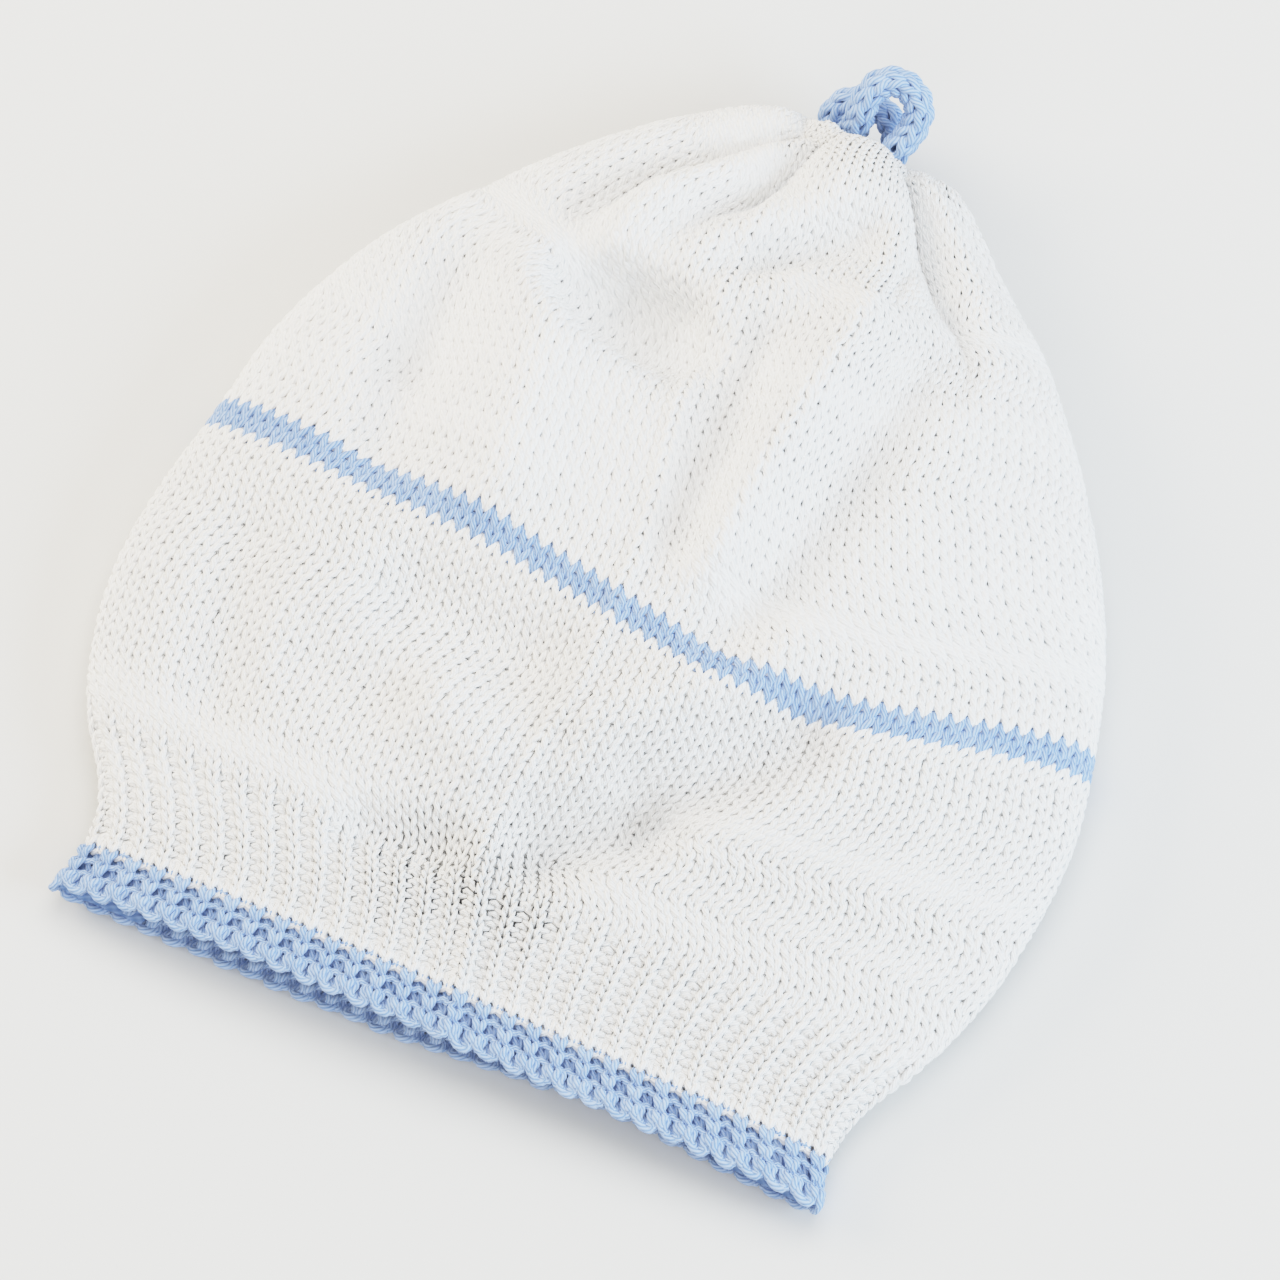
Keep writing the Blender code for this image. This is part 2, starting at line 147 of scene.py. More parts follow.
FOLDS = (
    # name, x1, y1, x2, y2, depth, width
    ("left valley", -0.65, 0.8, -0.62, 0.6, 0.33, 0.08),
    ("left valley low", -0.62, 0.56, -0.6, 0.5, 0.2, 0.08),
    ("left hollow", -0.35, 0.728, -0.14, 0.695, 0.3, 0.085),
    ("buckle", -0.1, 0.8, 0.08, 0.87, 0.12, 0.055),
    ("seam valley", 0.02, 0.73, 0.05, 0.51, 0.13, 0.055),
    ("middle ridge", 0.2, 0.8, 0.12, 0.51, -0.19, 0.075),
    ("right valley", 0.34, 0.79, 0.3, 0.66, 0.13, 0.075),
    ("right valley 2", 0.29, 0.62, 0.22, 0.45, 0.13, 0.075),
    ("lower valley", 0.42, 0.38, 0.22, 0.28, 0.25, 0.075),
    ("lower valley 2", 0.18, 0.25, 0.04, 0.202, 0.28, 0.068),
    ("right bulge", 0.32, 0.43, 0.05, 0.32, -0.1, 0.085),
    ("lower left dip", -0.3, 0.15, -0.15, 0.16, 0.15, 0.05),
    ("left bulge", -0.26, 0.27, -0.14, 0.25, -0.09, 0.07),
    ("under the stripe", -0.4, 0.365, -0.16, 0.355, 0.18, 0.09),
    ("left slope", -0.53, 0.276, -0.4, 0.28, 0.1, 0.085),
    ("left low valley", -0.79, 0.36, -0.7, 0.22, 0.18, 0.075),
    ("left shoulder", -0.42, 0.69, -0.34, 0.5, -0.14, 0.1),
    ("right shoulder", 0.45, 0.72, 0.52, 0.56, -0.05, 0.13),
    ("mouth sag", 0.17, -0.011, 0.56, 0.033, 0.04, 0.16),
)

TUCK = 0.0026
TUCK_AT = 0.34
TUCK_WIDTH = 0.30

# Pleats gathered under the top and at its sides: where, round from the seam, how deep as a
# share of PLEAT_DEPTH, how wide, and how many rows down they reach
PLEAT_DEPTH = 0.0068
PLEATS = (
    ("right minor", 0.212, 0.45, 0.016, 24),
    ("right under", 0.285, 0.95, 0.02, 24),
    ("under 1", 0.365, 1.05, 0.022, 26),
    ("under 2", 0.445, 1.05, 0.022, 30),
    ("under 3", 0.525, 1.05, 0.022, 26),
    ("under 4", 0.605, 1.05, 0.022, 30),
    ("left under", 0.69, 0.95, 0.02, 24),
    ("left minor", 0.785, 0.4, 0.016, 22),
)

# Creases of the gathered top on the upper side, and swells between them, which are negative.
# x and y as shares of HALF and LENGTH, depth and half width in millimetres
CREASES = {
    "left tube": (
        (-0.6, 0.745, 0, 6), (-0.533, 0.78, 2, 5), (-0.456, 0.823, 4.6, 4.4),
        (-0.378, 0.875, 7.4, 3.8), (-0.291, 0.914, 7.2, 3.2), (-0.21, 0.95, 6, 2.8),
        (-0.12, 0.99, 4.5, 2.4),
    ),
    "beside the seam": (
        (-0.32, 0.765, 0, 6), (-0.261, 0.808, 2.2, 5), (-0.214, 0.853, 4.6, 4.2),
        (-0.153, 0.884, 7, 3.8), (-0.118, 0.911, 7.2, 3.4), (-0.1, 0.944, 6, 2.9),
        (-0.075, 0.99, 4.5, 2.4),
    ),
    "right deep": (
        (0.44, 0.745, 0, 4), (0.409, 0.8, 2, 3.2), (0.368, 0.827, 4, 2.8),
        (0.326, 0.849, 5.4, 2.7), (0.263, 0.888, 7, 2.6), (0.193, 0.933, 6.5, 2.5),
        (0.11, 0.985, 4.5, 2.2),
    ),
    "right slit": (
        (0.255, 0.755, 0, 3), (0.226, 0.824, 1.4, 2.6), (0.212, 0.853, 2, 2.4),
        (0.215, 0.9, 1.5, 2.4), (0.19, 0.94, 0, 2.4),
    ),
    "buckle": (
        (0.16, 0.925, 0, 4.5), (0.101, 0.896, 2.2, 4.5), (0.037, 0.859, 2.6, 4.5),
        (-0.047, 0.819, 2.2, 4.5), (-0.13, 0.795, 0, 4.5),
    ),
    "below the middle lobe": (
        (-0.385, 0.85, 0, 4), (-0.418, 0.812, 2, 4.2), (-0.44, 0.77, 3, 5),
        (-0.395, 0.732, 4.6, 6), (-0.3, 0.72, 7.4, 6.4), (-0.2, 0.712, 6.8, 6.2),
        (-0.09, 0.7, 0, 5.4),
    ),
    "central lobe": (
        (-0.06, 0.88, 0, 8), (0.03, 0.925, -2, 9), (0.11, 0.94, -1.2, 7), (0.15, 0.955, 0, 6),
    ),
    "middle lobe": (
        (-0.345, 0.74, 0, 7), (-0.358, 0.775, -1.6, 7), (-0.355, 0.815, -1.8, 6),
        (-0.32, 0.855, -1.6, 5.5), (-0.235, 0.893, -1.4, 5), (-0.164, 0.936, -1, 4),
        (-0.1, 0.97, 0, 4),
    ),
    "right tube": (
        (0.15, 0.985, 0, 2.5), (0.238, 0.933, -1.2, 3.2), (0.335, 0.883, -1.2, 3.6),
        (0.409, 0.843, -0.6, 4), (0.44, 0.8, 0, 4),
    ),
    "ridge below the buckle": (
        (-0.1, 0.77, 0, 3.2), (-0.061, 0.786, -1, 3.2), (0.003, 0.806, -1.4, 3.2),
        (0.07, 0.854, -1, 3.2), (0.11, 0.88, 0, 3.2),
    ),
}
print(len(SECTIONS), "sections and", len(FOLDS), "folds")
print(len(PLEATS), "pleats and", len(CREASES), "creases")

# %% Smooth values between the rows of a table
def between(table, at):
    """Values of a table at a place given by its first column, on a smooth curve."""
    place = table[:, 0]
    value = table[:, 1:]
    step = np.diff(place)[:, None]
    slope = np.diff(value, axis=0) / step
    inner = (slope[:-1] * step[1:] + slope[1:] * step[:-1]) / (step[:-1] + step[1:])
    tangent = np.vstack([slope[:1], inner, slope[-1:]])
    i = int(np.clip(np.searchsorted(place, at, side="right") - 1, 0, len(place) - 2))
    h = place[i + 1] - place[i]
    t = (at - place[i]) / h
    return (
        (2 * t**3 - 3 * t**2 + 1) * value[i]
        + (t**3 - 2 * t**2 + t) * h * tangent[i]
        + (3 * t**2 - 2 * t**3) * value[i + 1]
        + (t**3 - t**2) * h * tangent[i + 1]
    )


def ramp(at, start, over):
    """Rises from 0 to 1, from a start over a distance."""
    return np.clip((at - start) / over, 0.0, 1.0)


def eased(share):
    """A share from 0 to 1 with a soft start and a soft end."""
    return share * share * (3 - 2 * share)


def beside(x, y, x1, y1, x2, y2):
    """Places beside a straight line: how far along it, as a share, and how far off it."""
    ax, ay, bx, by = x1 * HALF, y1 * LENGTH, x2 * HALF, y2 * LENGTH
    run = (bx - ax) ** 2 + (by - ay) ** 2
    share = np.clip(((x - ax) * (bx - ax) + (y - ay) * (by - ay)) / run, 0.0, 1.0)
    return share, np.hypot(x - ax - share * (bx - ax), y - ay - share * (by - ay))


def lengths(line):
    """How far along a line of points each point lies."""
    return np.concatenate([[0.0], np.cumsum(np.linalg.norm(np.diff(line, axis=0), axis=1))])


def picked(line, length, at):
    """Points of a line at given lengths along it."""
    return np.stack([np.interp(at, length, line[:, k]) for k in range(3)], axis=1)


def spread(line, count):
    """The same line divided into a number of even steps."""
    length = lengths(line)
    return picked(line, length, np.arange(count + 1) / count * length[-1])


def dent(x, y):
    """How far the folds press the upper side down at a place seen from above."""
    down = np.zeros_like(x)
    for _, *line, depth, width in FOLDS:
        away = beside(x, y, *line)[1]
        down += depth * PUFF * np.exp(-((away / (width * HALF)) ** 2))
    return down


def course(row, count):
    """One course of knitting: points evenly spaced round it, from the seam to the right."""
    left_x, left_y, right_x, right_y, bow, sag, top, rim, lift, seam = between(SECTIONS, row)
    middle = (right_x - left_x) / 2 * HALF
    half = (right_x + left_x) / 2 * HALF
    angle = np.linspace(0.0, 2.0 * math.pi, ROUND + 1)
    side = -np.cos(angle)
    x = middle + side * half
    chord = left_y + (right_y - left_y) * (side + 1) / 2
    y = (chord - bow * (1 - side**2)) * LENGTH
    sag = sag * np.exp(-((x / HALF - SAG_AT) / SAG_WIDTH) ** 2) * (np.sin(angle) ** 2) ** SAG_EASE
    y = np.where(angle < math.pi, y - sag * LENGTH, y)
    rise = np.sqrt(np.maximum(0.0, 1 - np.abs(side) ** DOME))
    upper = (rim + (top - rim) * rise) * PUFF - dent(x, y) * np.sin(angle) ** 2
    roll = np.clip(1 + (np.abs(side) - 1) * half / (ROLL * rim * PUFF), 0.0, 1.0)
    lift = max(lift, 0.0)
    under = (lift + (rim - lift) * (1 - np.sqrt(1 - roll**2))) * PUFF
    z = np.where(angle < math.pi, upper, under)
    fade = max(0.0, 1 - row / RIB_ROWS) * np.minimum(1.0, -4 * np.sin(angle))
    tuck = TUCK * fade * np.exp(-((x / HALF - TUCK_AT) / TUCK_WIDTH) ** 2)
    y = np.where(angle > math.pi, y + tuck, y)
    loop = np.stack([x, y, z], axis=1)
    start = int(np.argmin(np.abs(x[: ROUND // 2] - seam * HALF)))
    return spread(np.vstack([loop[start:-1], loop[: start + 1]]), count)


stripe_width = float(np.ptp(course(STRIPE_START + 1.0, ROUND // 2)[:, 0]))
print("the stripe is", round(stripe_width * 1000, 1), "mm wide")

# %% [markdown]
# ## The guide surface
#
# A guide is a fine, smooth sheet in the middle of the fabric's thickness, which the yarn
# will follow. Near the top the round of the hat shrinks to a fifth, but the knitting has as
# many stitches as below, so it lies in deep pleats. They could be sculpted by hand, but
# tables that press them into every course let a fold be moved by its numbers.

# %% Pleats and creases
GUIDE_ROWS = 2  # guide lines to a row of knitting
GUIDE_COLUMNS = 4  # guide lines to a wale
MARGIN = 2  # guide lines past the seam and past the first row
EASE_FROM = 80.0  # row from which the pleats get shallower
EASE = 0.4  # how much shallower they are at the last row
SHARP = 0.6  # power of a sharp crease's section, where 1 is a round valley
BOTTOM = 0.02  # how far a sharp crease is rounded off at its bottom
ROUND_FROM = 3.2  # half width in millimetres from which a crease gets rounder
ROUND_OVER = 1.2  # how much wider it is when its section is wholly round


def valley(away, width, power=SHARP):
    """The section of a crease: with a small power sharp at the bottom, with 1 round."""
    return np.exp(BOTTOM**power - ((away / width) ** 2 + BOTTOM) ** power)


def pleat(row, share):
    """How deep the pleats are at a row, for places given as shares of the way round."""
    deep = np.zeros_like(share)
    for _, place, depth, width, reach in PLEATS:
        away = np.abs((share - place + 0.5) % 1.0 - 0.5)
        grow = eased(ramp(row, ROWS - reach, reach))
        deep = np.maximum(deep, depth * grow * valley(away, width))
    return deep * PLEAT_DEPTH * (1 - EASE * ramp(row, EASE_FROM, ROWS - EASE_FROM))


def crease(x, y):
    """How far the creases press the upper side in at a place seen from above."""
    total = np.zeros_like(x)
    for line in CREASES.values():
        deepest = np.zeros_like(x)
        for (x1, y1, depth1, width1), (x2, y2, depth2, width2) in zip(line, line[1:]):
            share, away = beside(x, y, x1, y1, x2, y2)
            depth = depth1 + (depth2 - depth1) * share
            width = width1 + (width2 - width1) * share
            power = 1.0
            if max(depth1, depth2) > 0:
                power = SHARP + (1 - SHARP) * ramp(width, ROUND_FROM, ROUND_OVER)
            deep = depth * valley(away * 1000, width, power)
            deepest = np.where(np.abs(deep) > np.abs(deepest), deep, deepest)
        total += deepest / 1000
    return total


print("deepest crease", max(stop[2] for line in CREASES.values() for stop in line), "mm")

# %% [markdown]
# ### Where the stitches go
#
# Spaced evenly round each course, the columns of stitches would run aslant over the folds.
# On the real hat they keep their width on the upper side, leave it by the sides and crowd
# together underneath. PITCH gives the width of a wale on the upper side at each height, and
# the underside takes the rest of the round. The columns also crowd in the valley right of
# the seam. Last, the rows are shared out evenly along each column, so that no stitch is
# stretched where it climbs a fold.

# %% Give every stitch its place
PITCH = np.array((
    # row, width of a wale on the upper side in metres
    (0, 0), (38, 0), (44, 0.00288), (55, 0.00285), (62, 0.0028),
    (69, 0.00262), (76, 0.00235), (82, 0.00212), (90, 0.0018),
))
BLEND = 0.006  # length over which the width of the wales changes at the sides
CROWD = 0.35  # how much narrower the wales are in the valley right of the seam
CROWD_WIDTH = 0.012  # half width of that valley
CROWD_ROWS = (44.0, 64.0)  # rows over which the wales crowd in
CROWD_LINE = np.array((
    # y, x: where the valley runs, as shares of LENGTH and HALF
    (0.45, 0.22), (0.62, 0.29), (0.79, 0.34), (0.888, 0.263), (0.985, 0.11),
))
SEAM_RISE = 0.0009  # how far the seam stands up
SEAM_WIDTH = 0.0017
EVENNESS = 0.85  # how far the courses even out along each wale
STEPS = 8  # points to a wale at first
FACING = 0.35  # how far up a place has to face to be creased in full
CLOSING_ROWS = 3  # rows drawn in under the cord
CLOSING_TURN = math.radians(70)  # how far the last of them turns in
CLOSING_BULGE = 0.0022  # how far they bulge along the hat


def way_out(grid):
    """Directions out of a grid of points, rows first, that closes round."""
    along = np.gradient(grid, axis=0)
    wide = np.concatenate([grid[:, -3:-1], grid, grid[:, 1:3]], axis=1)
    round_it = np.gradient(wide, axis=1)[:, 2:-2]
    out = np.cross(round_it, along)
    return out / np.maximum(np.linalg.norm(out, axis=2), 1e-12)[:, :, None]


def place_wales(row, ring, count):
    """Points round a pressed course, evenly spaced by stitch number."""
    steps = np.linalg.norm(np.diff(ring, axis=0), axis=1)
    length = np.concatenate([[0.0], np.cumsum(steps)])
    middle = (length[1:] + length[:-1]) / 2
    even = length[-1] / WALES
    wide = max(even, np.interp(row, PITCH[:, 0], PITCH[:, 1]))
    right_side = length[int(np.argmax(ring[:, 0]))]
    left_side = length[int(np.argmin(ring[:, 0]))]
    x, y = ((ring[1:, k] + ring[:-1, k]) / 2 for k in (0, 1))
    valley_x = np.interp(y / LENGTH, CROWD_LINE[:, 0], CROWD_LINE[:, 1]) * HALF
    crowd = CROWD * np.interp(row, CROWD_ROWS, (0.0, 1.0)) * (middle < right_side)
    crowd = 1 / (1 - crowd * np.exp(-(((x - valley_x) / CROWD_WIDTH) ** 2)))
    upper = ((steps * crowd)[middle < right_side].sum() + length[-1] - left_side) / wide
    narrow = (left_side - right_side) / (WALES - upper)
    turn = 1 / (1 + np.exp(-(middle - right_side) / BLEND * 4))
    turn = turn / (1 + np.exp((middle - left_side) / BLEND * 4))
    wales = np.cumsum(steps * crowd / (wide + (narrow - wide) * turn))
    wales = np.concatenate([[0.0], wales])
    wales *= WALES / wales[-1]
    at = np.interp(np.arange(count + 1) / count * WALES, wales, length)
    return picked(ring, length, at)


def even_rows(grid, first, last):
    """Shares out the courses between two rows evenly along each wale."""
    part = grid[first * GUIDE_ROWS : last * GUIDE_ROWS + 1]
    steps = np.linalg.norm(np.diff(part, axis=0), axis=2)
    share = np.concatenate([np.zeros((1, steps.shape[1])), np.cumsum(steps, axis=0)])
    share /= share[-1]
    wanted = share + EVENNESS * (share.mean(axis=1, keepdims=True) - share)
    moved = np.empty_like(part)
    for wale in range(part.shape[1]):
        for k in range(3):
            moved[:, wale, k] = np.interp(wanted[:, wale], share[:, wale], part[:, wale, k])
    grid[first * GUIDE_ROWS : last * GUIDE_ROWS + 1] = moved


def fabric():
    """The guide's points, rows first."""
    rows = np.arange(0, ROWS * GUIDE_ROWS + 1) / GUIDE_ROWS
    fine = STEPS * WALES
    grid = np.array([course(row, fine) for row in rows])
    share = np.arange(fine + 1) / fine
    out = way_out(grid)
    press = np.array([pleat(row, share) for row in rows]) + WALL / 2
    press += crease(grid[:, :, 0], grid[:, :, 1]) * eased(ramp(out[:, :, 2], 0.0, FACING))
    round_it = np.linalg.norm(np.diff(grid, axis=1), axis=2).sum(axis=1)[:, None]
    from_seam = np.minimum(share, 1 - share) * round_it
    press -= SEAM_RISE * np.exp(-((from_seam / SEAM_WIDTH) ** 2))
    grid = grid - out * press[:, :, None]
    count = GUIDE_COLUMNS * WALES
    grid = np.array([place_wales(row, ring, count) for row, ring in zip(rows, grid)])
    even_rows(grid, RIB_ROWS, STRIPE_START)
    even_rows(grid, STRIPE_END, ROWS)
    heart = grid[-1].mean(axis=0)
    closing = []
    for step in range(1, CLOSING_ROWS * GUIDE_ROWS + 1):
        turn = step / (CLOSING_ROWS * GUIDE_ROWS) * CLOSING_TURN
        ring = heart + (grid[-1] - heart) * math.cos(turn)
        closing.append(ring + np.array([0.0, CLOSING_BULGE, 0.0]) * math.sin(turn))
    before = [grid[0] + (grid[0] - grid[1]) * (MARGIN - i) for i in range(MARGIN)]
    return np.array([*before, *grid, *closing])


guide = fabric()
guide_out = way_out(guide)
first_line = -MARGIN / GUIDE_ROWS
around = guide.shape[1] - 1
print("guide", guide.shape[0], "by", guide.shape[1], "points")

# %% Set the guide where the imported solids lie
HALF_GAP = 0.00015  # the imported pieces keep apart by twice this
stripe_low, stripe_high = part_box("stripe")
stripe_rows = (float(STRIPE_START), float(STRIPE_END))
stripe_rings = np.vstack([course(row, ROUND // 2) for row in stripe_rows])
shift = np.array([
    (stripe_low.x + stripe_high.x - stripe_rings[:, 0].min() - stripe_rings[:, 0].max()) / 2,
    stripe_high.y + HALF_GAP - stripe_rings[:, 1].max(),
    0.0,
])
guide = guide + shift
print("shift in mm", np.round(shift * 1000, 2).tolist())

# %% [markdown]
# ### Room for the yarn
#
# Real yarn is soft: pressed thin where stitches crowd, and full where they have room. With
# one radius the crowded stitches would run into one another and the wide ones leave holes.
# So each point of the guide carries how full the yarn lies there, and an address in wales
# and rows, by which each stitch finds its place.

# %% Guide mesh with room for the yarn
USUAL_WALE = 0.0029  # width of a wale in which the yarn has its full thickness
WALE_POWER = 0.85  # how far the yarn follows the width of the wales
USUAL_ROW = 0.0023  # height of a row past which the yarn is drawn fuller
ROW_POWER = 0.8  # how far the yarn follows the height of the rows
ROW_LIMITS = (0.87, 1.5)  # the least and the most that it follows
TIGHTER = 0.18  # how much fuller the yarn lies near the gather
TIGHTER_FROM = 60.0  # row from which it lies fuller
TIGHTER_OVER = 22.0  # rows over which it gets there
RIB_OPENED = 0.08  # how much thinner the yarn lies in the whole rib
OPENED = 0.30  # how much thinner the yarn lies where the rib is pulled open
OPEN_RIB = (
    # x, y, half width and half height, as shares of HALF and LENGTH
    (-0.165, 0.14, 0.13, 0.06),
    (0.04, 0.15, 0.12, 0.06),
)


def smoothed(values):
    """Values of the guide's columns, each the mean of itself and eight neighbours."""
    return sum(np.roll(values, k, axis=1) for k in range(-4, 5)) / 9


def yarn_room(grid, facing_up):
    """How full the yarn lies at each point of the guide, where 1 is its usual radius."""
    wide = np.roll(grid, -1, axis=1) - np.roll(grid, 1, axis=1)
    wide = smoothed(np.linalg.norm(wide, axis=2) * GUIDE_COLUMNS / 2)
    tall = smoothed(np.linalg.norm(np.gradient(grid, axis=0), axis=2) * GUIDE_ROWS)
    print("narrowest wale", round(float(wide.min()) * 1000, 2), "mm")
    room = np.minimum(1.0, wide / USUAL_WALE) ** WALE_POWER
    room *= np.clip(tall / USUAL_ROW, *ROW_LIMITS) ** ROW_POWER
    row = (np.arange(len(grid)) - MARGIN)[:, None] / GUIDE_ROWS
    room *= 1 + TIGHTER * ramp(row, TIGHTER_FROM, TIGHTER_OVER)
    room *= np.where((row > EDGE_ROWS + 1) & (row < RIB_ROWS), 1 - RIB_OPENED, 1.0)
    x, y = (grid[:, :, 0] - shift[0]) / HALF, (grid[:, :, 1] - shift[1]) / LENGTH
    for open_x, open_y, half_width, half_height in OPEN_RIB:
        away = ((x - open_x) / half_width) ** 2 + ((y - open_y) / half_height) ** 2
        room *= 1 - OPENED * np.exp(-(away**2)) * facing_up
    return room


def quads(rows, columns):
    """Corner numbers of the faces of a sheet of points, rows first."""
    number = np.arange(rows * columns).reshape(rows, columns)
    corners = [number[:-1, :-1], number[:-1, 1:], number[1:, 1:], number[1:, :-1]]
    return np.stack(corners, axis=2).reshape(-1, 4)


def carry(mesh, title, kind, values):
    """Gives every point of a mesh a number or a direction of its own."""
    store = mesh.attributes.new(title, kind, "POINT")
    values = np.asarray(values, dtype=np.float32).ravel()
    store.data.foreach_set("value" if kind == "FLOAT" else "vector", values)


def guide_mesh(name, points, out, room, uv_from, uv_step):
    """A sheet of points as a mesh, with its addresses, directions out and yarn room."""
    rows, columns = points.shape[:2]
    mesh = bpy.data.meshes.new(name)
    mesh.from_pydata(points.reshape(-1, 3).tolist(), [], quads(rows, columns).tolist())
    u = uv_from[0] + np.arange(columns) * uv_step[0]
    v = uv_from[1] + np.arange(rows)[:, None] * uv_step[1]
    address = np.stack(np.broadcast_arrays(u, v, 0.0), axis=2)
    carry(mesh, "address", "FLOAT_VECTOR", address)
    carry(mesh, "out", "FLOAT_VECTOR", out)
    carry(mesh, "room", "FLOAT", room)
    return mesh


columns = np.arange(-MARGIN, around + MARGIN + 1) % around
hat_guide = guide_mesh(
    "hat_guide",
    guide[:, columns],
    guide_out[:, columns],
    yarn_room(guide[:, :-1], guide_out[:, :-1, 2] > 0)[:, columns],
    (-MARGIN / around, first_line / ROWS),
    (1 / around, 1 / GUIDE_ROWS / ROWS),
)
print("guide mesh has", len(hat_guide.polygons), "faces")

# %% [markdown]
# ## Cotton yarn
#
# The yarn is a few strands of soft cotton twisted together. The strands could be modelled,
# but they would choke the file. Each loop is a round tube instead, over which the material
# lays the strands as bump, with shade painted into the grooves between them, by where a point
# is around the yarn and how far along it.

# %% Write sums as nodes
class Flow:
    """A number or a direction on its way through a node tree, so that sums read as sums."""

    def __init__(self, socket):
        self.socket = socket

    def math(self, operation, *others):
        tree = self.socket.id_data
        return node(tree, "ShaderNodeMath", self, *others, operation=operation)

    def __add__(self, other):
        return self.math("ADD", other)

    def __sub__(self, other):
        return self.math("SUBTRACT", other)

    def __mul__(self, other):
        return self.math("MULTIPLY", other)

    def __truediv__(self, other):
        return self.math("DIVIDE", other)

    def turned(self):
        """The cosine of this many whole turns."""
        return (self * (2 * math.pi)).math("COSINE")

    def swung(self):
        """The sine of this many whole turns."""
        return (self * (2 * math.pi)).math("SINE")


def node(tree, kind, *inputs, out=0, settings=(), **named):
    """Adds a node, joins its inputs in order and gives back one of its outputs."""
    made = tree.nodes.new(kind)
    for title, value in named.items():
        setattr(made, title, value)
    pairs = list(zip(made.inputs, inputs))
    pairs += [(next(s for s in made.inputs if s.identifier == key), v) for key, v in settings]
    for socket, value in pairs:
        if isinstance(value, Flow):
            tree.links.new(value.socket, socket)
        elif value is not None:
            socket.default_value = value
    return Flow(made.outputs[out])


print("sums can be written as nodes")

# %% The yarn material
STRANDS = 6  # strands of cotton in the yarn
TWIST_LENGTH = 0.0085  # length of yarn in which the strands go once round
FIBRES_ROUND = 40.0  # how fine the fibres are round the yarn and along a metre of it
FIBRES_ALONG = 500.0
CLOUD_SCALE = 60.0  # how small the clouds of uneven white are
FIBRE_SHADE = 0.25  # how much fibres, clouds and single stitches differ in shade
CLOUD_SHADE = 0.2
TINT_SHADE = 0.12
FIBRE_BUMP = 0.35  # height of the fibres against that of the strands
BUMP_STRENGTH = 0.6


def carried_pair(tree, title):
    """The first two numbers of a direction that the points carry."""
    split = tree.nodes.new("ShaderNodeSeparateXYZ")
    carried = node(tree, "ShaderNodeAttribute", attribute_name=title, out=1)
    tree.links.new(carried.socket, split.inputs[0])
    return Flow(split.outputs[0]), Flow(split.outputs[1])


def new_material(name, finish):
    """A material and its shader, which takes the values of its finish."""
    made = bpy.data.materials.new(name)
    made.use_nodes = True
    shader = made.node_tree.nodes["Principled BSDF"]
    for title, value in finish.items():
        shader.inputs[title].default_value = value
    return made, shader


def cotton(name, weave, light, deep, bump_height, finish):
    """A cotton whose weave mixes its colour from deep, painted shade in its hollows, to light,
    and gives a relief for the bump.
    """
    made, shader = new_material(name, finish)
    tree = made.node_tree
    shade, relief = weave(tree)
    shade = shade.math("MINIMUM", 1.0).math("MAXIMUM", 0.0)
    mix = tree.nodes.new("ShaderNodeMix")
    mix.data_type = "RGBA"
    tree.links.new(shade.socket, mix.inputs[0])
    mix.inputs[6].default_value = (*deep, 1.0)
    mix.inputs[7].default_value = (*light, 1.0)
    tree.links.new(mix.outputs[2], shader.inputs["Base Color"])
    bump = tree.nodes.new("ShaderNodeBump")
    bump.inputs["Strength"].default_value = BUMP_STRENGTH
    bump.inputs["Distance"].default_value = bump_height
    tree.links.new(relief.socket, bump.inputs["Height"])
    tree.links.new(bump.outputs[0], shader.inputs["Normal"])
    return made


def strands(groove_shade):
    """The weave of a yarn: round strands that wind about it, with shade painted in the groove
    between them.
    """
    def weave(tree):
        x, y = carried_pair(tree, "around")
        along = node(tree, "ShaderNodeAttribute", attribute_name="along", out=2)
        tint = node(tree, "ShaderNodeAttribute", attribute_name="tint", out=2)
        turn = y.math("ARCTAN2", x) / (2 * math.pi) + along / TWIST_LENGTH
        strand = (turn * (STRANDS / 2)).swung().math("ABSOLUTE")
        fibre = node(tree, "ShaderNodeCombineXYZ", turn * FIBRES_ROUND, along * FIBRES_ALONG, 0.0)
        fibre = node(tree, "ShaderNodeTexNoise", fibre, None, 1.0, 2.0)
        cloud = node(tree, "ShaderNodeTexCoord", out=3)
        cloud = node(tree, "ShaderNodeTexNoise", cloud, None, CLOUD_SCALE, 2.0)
        # The grooves between the strands are painted darker as shade; fibres, clouds and tint
        # vary the tone at random
        shade = strand * (1 - groove_shade) + groove_shade + (fibre - 0.5) * FIBRE_SHADE
        shade = shade + (cloud - 0.5) * CLOUD_SHADE + tint * TINT_SHADE
        return shade, strand + fibre * FIBRE_BUMP
    return weave


YARN_BUMP = 0.0002  # height of the strands
YARN_FINISH = {"Roughness": 0.82, "Specular IOR Level": 0.25}
YARN_FINISH.update({"Sheen Weight": 0.15, "Sheen Roughness": 0.5})
YARNS = {
    # slot: name, weave, light colour on the strands, deep colour painted in the grooves as their
    # shade
    "white_yarn": ("white_cotton", strands(0.35), (0.95, 0.95, 0.95), (0.88, 0.88, 0.875)),
    "blue_yarn": ("blue_cotton", strands(0.0), (0.495, 0.63, 0.885), (0.225, 0.37, 0.685)),
}
YARNS = {slot: cotton(*row, YARN_BUMP, YARN_FINISH) for slot, row in YARNS.items()}
SLOTS = dict.fromkeys(("edge_band", "stripe", "top_loop"), "blue_yarn")
SLOTS.update(dict.fromkeys(("rib_band", "lower_crown", "upper_crown"), "white_yarn"))
print("materials:", [material.name for material in YARNS.values()])

# %% [markdown]
# ## Courses of knitting
#
# A course is one yarn that rises into a loop at every stitch, each pulled through the one
# below. A repeated picture of V shapes would be flat at the edges and show no holes. Here
# Geometry Nodes draw the yarn itself: a curve whose points swing sideways, up and down, and
# in and out, a known number of times to a stitch. The guide's addresses turn stitch numbers
# into places on the hat. In rib, every second stitch swings in where the others swing out.

